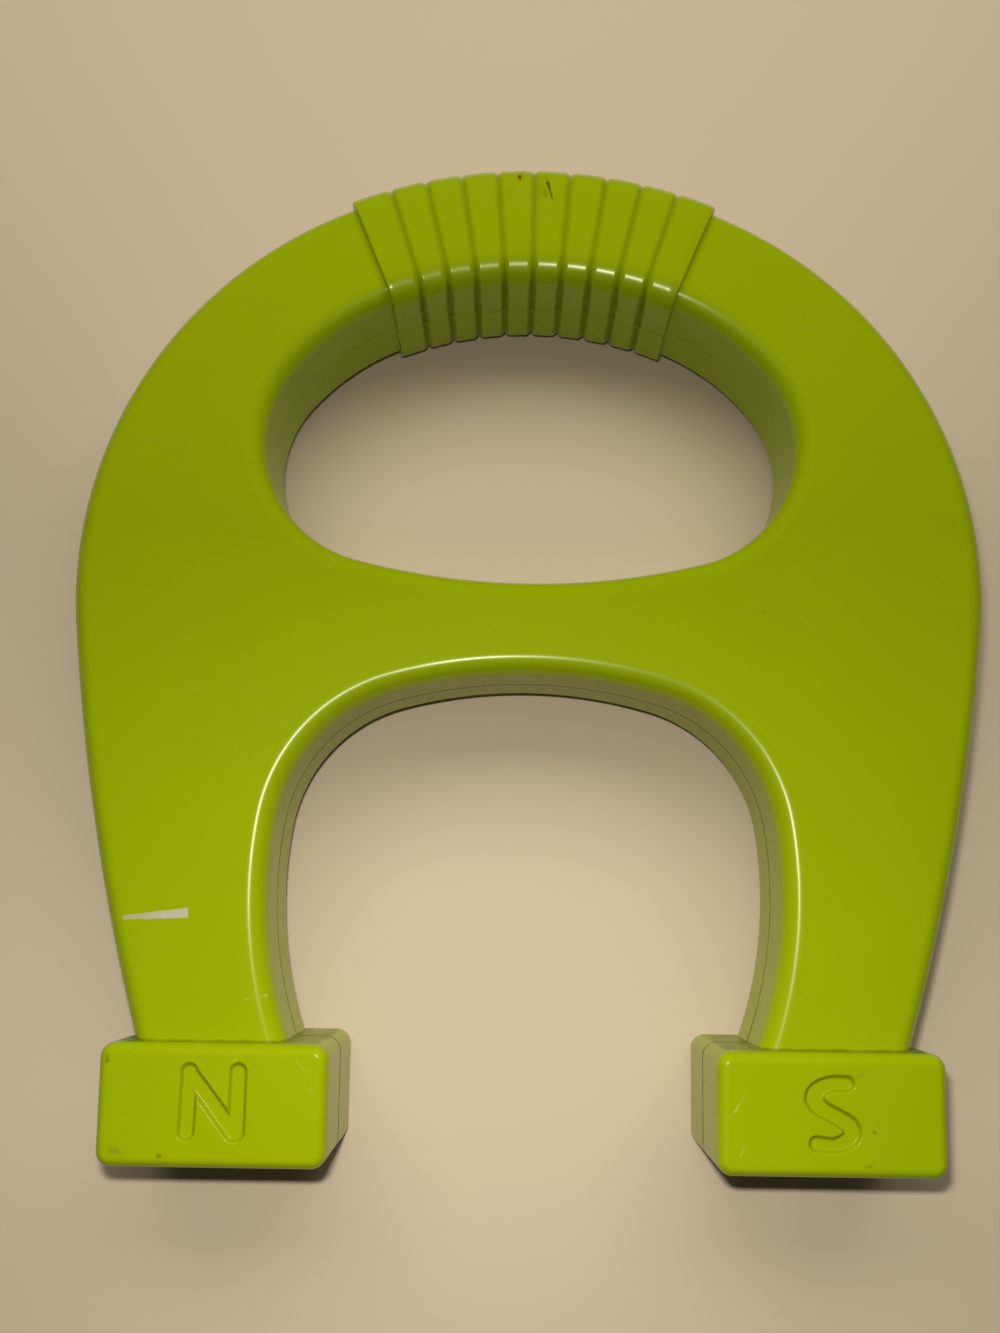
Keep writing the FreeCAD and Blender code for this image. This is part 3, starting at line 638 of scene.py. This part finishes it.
def limePlastic():
    material, board, shader = newMaterial("lime_plastic")
    position = board.add("ShaderNodeTexCoord").outputs["Object"]
    height = board.add("ShaderNodeSeparateXYZ", None, {"Vector": position})
    facing = board.add("ShaderNodeSeparateXYZ", None, {"Vector": board.add("ShaderNodeNewGeometry").outputs["Normal"]})
    wall = board.ramp(board.math("ABSOLUTE", facing.outputs["Z"]), 0.55, 0.1)
    grain = useGroup(board, "grain", position)

    colour = board.mix(grain["Mottle"], (*plastic["lime"], 1), (*plastic["deepLime"], 1))
    hair = board.math("MAXIMUM", useGroup(board, "hairline", position, Turn=0.55, Amount=0.5)["Mask"],
                      useGroup(board, "hairline", position, Turn=-0.9, Length=0.005, Amount=0.4)["Mask"])
    broken = board.ramp(board.noise(position, 1700.0, 2.0), 0.3, 0.52)
    scratchAndGlint = board.math("MULTIPLY", markMask(board, position, "scratches"), broken)
    scratchAndGlint = board.math("MAXIMUM", board.math("MULTIPLY", hair, 0.35), scratchAndGlint)
    colour = board.mix(board.math("MULTIPLY", scratchAndGlint, 0.6), colour, (*plastic["scratchAndGlint"], 1))
    # painted glints: pale specks on the walls, stronger towards the floor, stand in for reflections of the floor
    low = board.ramp(height.outputs["Z"], 17 * mm, 3 * mm)
    bright = board.math("MULTIPLY", wall, board.math("MULTIPLY_ADD", low, 0.6, 0.25))
    colour = board.mix(board.math("MULTIPLY", grain["Sparkle"], bright), colour, (*plastic["scratchAndGlint"], 1))

    # grime in the seam, where the legs meet the tips, and as specks
    seam = useGroup(board, "band", position, Coordinate=height.outputs["Z"], Level=place["seamHeight"] * mm,
                    Width=0.3 * mm, Ragged=1.4, Softness=0.3 * mm)["Mask"]
    belowHole = board.math("MULTIPLY_ADD", board.ramp(height.outputs["Y"], 0.02, -0.005), 0.53, 0.07)
    seam = board.math("MULTIPLY", seam, board.math("MULTIPLY_ADD", board.ramp(height.outputs["Y"], -0.07, -0.085),
                                                   0.35, belowHole))
    shoulder = useGroup(board, "band", position, Coordinate=height.outputs["Y"], Level=-81.62 * mm,
                        Width=0.2 * mm, Ragged=3.0, Softness=0.35 * mm)["Mask"]
    shoulder = board.math("MULTIPLY", shoulder, board.ramp(height.outputs["Z"], 28.3 * mm, 27.8 * mm))
    # painted shade in the grooves: the distance round the grip's centre from the nearest of them, wider on the walls
    fromMiddle = board.vector("MULTIPLY", board.vector("SUBTRACT", position, (0, place["middleY"] * mm, 0)), (1, 1, 0))
    radius = board.vector("LENGTH", fromMiddle)
    along = board.add("ShaderNodeSeparateXYZ", None, {"Vector": fromMiddle})
    turn = board.math("ARCTAN2", along.outputs["X"], along.outputs["Y"])
    fromGroove = board.math("MULTIPLY", board.math("PINGPONG", turn, math.radians(ribs["pitch"] / 2)), radius)
    onWall = board.math("MULTIPLY", board.ramp(fromGroove, 0.9 * mm, 0.65 * mm), plastic["wallShade"])
    onFace = board.math("MULTIPLY", board.ramp(fromGroove, 1.15 * mm, 0.1 * mm), plastic["faceShade"])
    paintedGrooveShade = board.math("ADD", board.math("MULTIPLY", wall, board.math("SUBTRACT", onWall, onFace)), onFace)
    lastGroove = math.radians((ribs["count"] - 1.5) / 2 * ribs["pitch"])
    paintedGrooveShade = board.math("MULTIPLY", paintedGrooveShade, board.math("LESS_THAN", board.math("ABSOLUTE", turn), lastGroove))
    paintedGrooveShade = board.math("MULTIPLY", paintedGrooveShade, board.math("GREATER_THAN", radius, (ribs["inner"] - 0.5) * mm))

    # painted shade on the letters' sloping walls, found by their height inside the flat of each tip
    deep = tips["top"] + place["seamHeight"] - letters["depth"]
    slope = board.math("MULTIPLY", board.ramp(height.outputs["Z"], (deep + letters["depth"]) * mm, (deep + 0.5) * mm),
                       board.ramp(height.outputs["Z"], deep * mm, (deep + 0.15) * mm))
    aside = board.math("SUBTRACT", board.math("ABSOLUTE", height.outputs["X"]), tips["centreX"] * mm)
    inFlat = board.math("LESS_THAN", board.math("ABSOLUTE", aside), (tips["halfWidth"] - tips["cornerRadius"]) * mm)
    slope = board.math("MULTIPLY", board.math("MULTIPLY", slope, inFlat), board.math(
        "LESS_THAN", height.outputs["Y"], (tips["centreY"] + place["middleY"] + tips["halfDepth"] - 3) * mm))
    slope = board.math("MULTIPLY", slope, board.math(
        "GREATER_THAN", height.outputs["Y"], (tips["centreY"] + place["middleY"] - tips["halfDepth"] + 3) * mm))
    specks = useGroup(board, "speck", position, Cell=0.008, Radius=0.0006, Chosen=0.12)["Mask"]
    smears = board.math("MAXIMUM", markMask(board, position, "smears"), board.math("MULTIPLY", specks, 0.5))
    grimeAndShade = board.math("MAXIMUM", smears, board.math("MULTIPLY", shoulder, 0.75))
    scraped = board.math("MULTIPLY_ADD", board.ramp(height.outputs["X"], -80 * mm, -72 * mm), 0.4, 0.55)
    scuff = board.math("MULTIPLY", markMask(board, position, "scuff", square=1.0), scraped)
    spots = markMask(board, position, "spots")
    dents = markMask(board, position, "dents")
    grimeAndShade = board.math("MAXIMUM", grimeAndShade, board.math("MULTIPLY", dents, 0.35))
    colour = board.mix(board.math("MULTIPLY", grimeAndShade, 0.62), colour, (*plastic["grimeAndShade"], 1))
    # painted shade: the grooves and the letters' sloping walls are darkened towards the grime colour
    shade = board.math("MAXIMUM", paintedGrooveShade, board.math("MULTIPLY", slope, plastic["letterShade"]))
    colour = board.mix(shade, colour, (*plastic["grimeAndShade"], 1))
    colour = board.mix(seam, colour, (*plastic["seam"], 1))
    colour = board.mix(board.math("MULTIPLY", spots, 0.9), colour, (*plastic["spot"], 1))
    colour = board.mix(board.math("MULTIPLY", scuff, 0.95), colour, (*plastic["scuff"], 1))

    dull = board.math("MAXIMUM", board.math("MULTIPLY", scuff, 0.4), board.math("MULTIPLY", grimeAndShade, 0.25))
    dull = board.math("MAXIMUM", dull, board.math("MULTIPLY", seam, 0.5))
    uneven = board.math("MULTIPLY_ADD", grain["Mottle"], 0.06, plastic["roughness"] - 0.03)
    roughness = board.math("ADD", uneven, dull)

    relief = board.math("MULTIPLY", grain["Grain"], board.math("MULTIPLY_ADD", wall, plastic["grain"], 0.5))
    drawn = board.math("MULTIPLY", grain["Streaks"], board.math("MULTIPLY", wall, plastic["streaks"]))
    relief = board.math("ADD", relief, drawn)
    relief = board.math("SUBTRACT", relief, board.math("MULTIPLY", board.math("ADD", dents, scratchAndGlint), 2.0))
    bump = board.add("ShaderNodeBump", None, {"Strength": 0.35, "Distance": 0.02 * mm, "Height": relief})
    for name, value in (("Base Color", colour), ("Roughness", roughness), ("Normal", bump.outputs["Normal"])):
        board.tree.links.new(value, shader.inputs[name])
    shader.inputs["IOR"].default_value = 1.52
    shader.inputs["Specular Tint"].default_value = (*plastic["glossTint"], 1)
    return material


def pressedFerrite():
    material, board, shader = newMaterial("pressed_ferrite")
    position = board.add("ShaderNodeTexCoord").outputs["Object"]
    grain = useGroup(board, "grain", position, Grain_Scale=1800.0, Mottle_Scale=120.0)
    colour = board.mix(grain["Mottle"], (0.032, 0.032, 0.036, 1), (0.07, 0.068, 0.072, 1))
    bump = board.add("ShaderNodeBump", None, {"Strength": 0.6, "Distance": 0.08 * mm, "Height": grain["Grain"]})
    roughness = board.math("MULTIPLY_ADD", grain["Grain"], 0.25, 0.5)
    for name, value in (("Base Color", colour), ("Roughness", roughness), ("Normal", bump.outputs["Normal"])):
        board.tree.links.new(value, shader.inputs[name])
    shader.inputs["Metallic"].default_value = 0.35
    return material


caseMaterial = limePlastic()
for piece in (frontCase, backCase):
    piece.data.materials.append(caseMaterial)
magnetMaterial = pressedFerrite()
for name in ("north_magnet", "south_magnet"):
    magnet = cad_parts[name]
    if magnet.material_slots:
        magnet.material_slots[0].material = magnetMaterial
    else:
        magnet.data.materials.append(magnetMaterial)

print("floor, lights and camera")
room = {"size": 3.0, "colour": (0.64, 0.515, 0.34)}
bpy.ops.mesh.primitive_plane_add(size=room["size"])
floor = bpy.context.object
floor.name = "floor"
material, board, shader = newMaterial("pale_floor")
shader.inputs["Base Color"].default_value = (*room["colour"], 1)
shader.inputs["Roughness"].default_value = 0.6
floor.data.materials.append(material)


def addAreaLight(name, position, target, size, energy, glossy=True):
    data = bpy.data.lights.new(name, "AREA")
    data.shape = "RECTANGLE"
    data.size, data.size_y = size
    data.energy = energy
    light = bpy.data.objects.new(name, data)
    light.location = position
    light.rotation_euler = (Vector(target) - Vector(position)).to_track_quat("-Z", "Y").to_euler()
    light.visible_glossy = glossy
    data.cycles.use_multiple_importance_sampling = glossy
    bpy.context.scene.collection.objects.link(light)
    return light


# The key light beside the camera gives the highlights; the tip light from the same place and a wide soft light
# over the grip even out the rest and leave no highlights of their own.
flashPlace = (-0.012, -0.035, 0.23)
addAreaLight("key_light", flashPlace, (0, 0.1, 0), (0.014, 0.008), 0.14)
addAreaLight("tip_light", flashPlace, (0, -0.8, 0), (0.014, 0.014), 0.6, glossy=False)
addAreaLight("soft_light", (0, 0.25, 0.30), (0, 0.12, 0), (0.6, 0.25), 1.3, glossy=False)
world = bpy.data.worlds.new("studio") if not bpy.context.scene.world else bpy.context.scene.world
bpy.context.scene.world = world
world.use_nodes = True
world.node_tree.nodes["Background"].inputs["Color"].default_value = (1, 1, 1, 1)
world.node_tree.nodes["Background"].inputs["Strength"].default_value = 0.03

# The camera stands over the arch, tipped a little towards the grip.
view = {
    "position": (-3.93, -55.35, 229.5), "pitch": 5.3, "roll": 0.87, "focal": 1000.0,
    "centre": (505.0, 820.0), "frame": (1000.0, 1333.0),
}
roll, pitch = math.radians(view["roll"]), math.radians(view["pitch"])
upward = Vector((-math.sin(roll), math.cos(roll), 0))
rightward = Vector((math.cos(roll), math.sin(roll), 0))
forward = upward * math.sin(pitch) - Vector((0, 0, math.cos(pitch)))
top = upward * math.cos(pitch) + Vector((0, 0, math.sin(pitch)))
data = bpy.data.cameras.new("camera")
camera = bpy.data.objects.new("camera", data)
camera.matrix_world = Matrix((rightward, top, -forward)).transposed().to_4x4()
camera.location = Vector(view["position"]) * mm
data.sensor_width = 36
data.lens = 36 * view["focal"] / view["frame"][1]
data.shift_x = (view["frame"][0] / 2 - view["centre"][0]) / view["frame"][1]
data.shift_y = (view["centre"][1] - view["frame"][1] / 2) / view["frame"][1]
data.clip_start = 0.01
bpy.context.scene.collection.objects.link(camera)
bpy.context.scene.camera = camera
bpy.context.scene.view_settings.view_transform = "Standard"

print("scene finished")
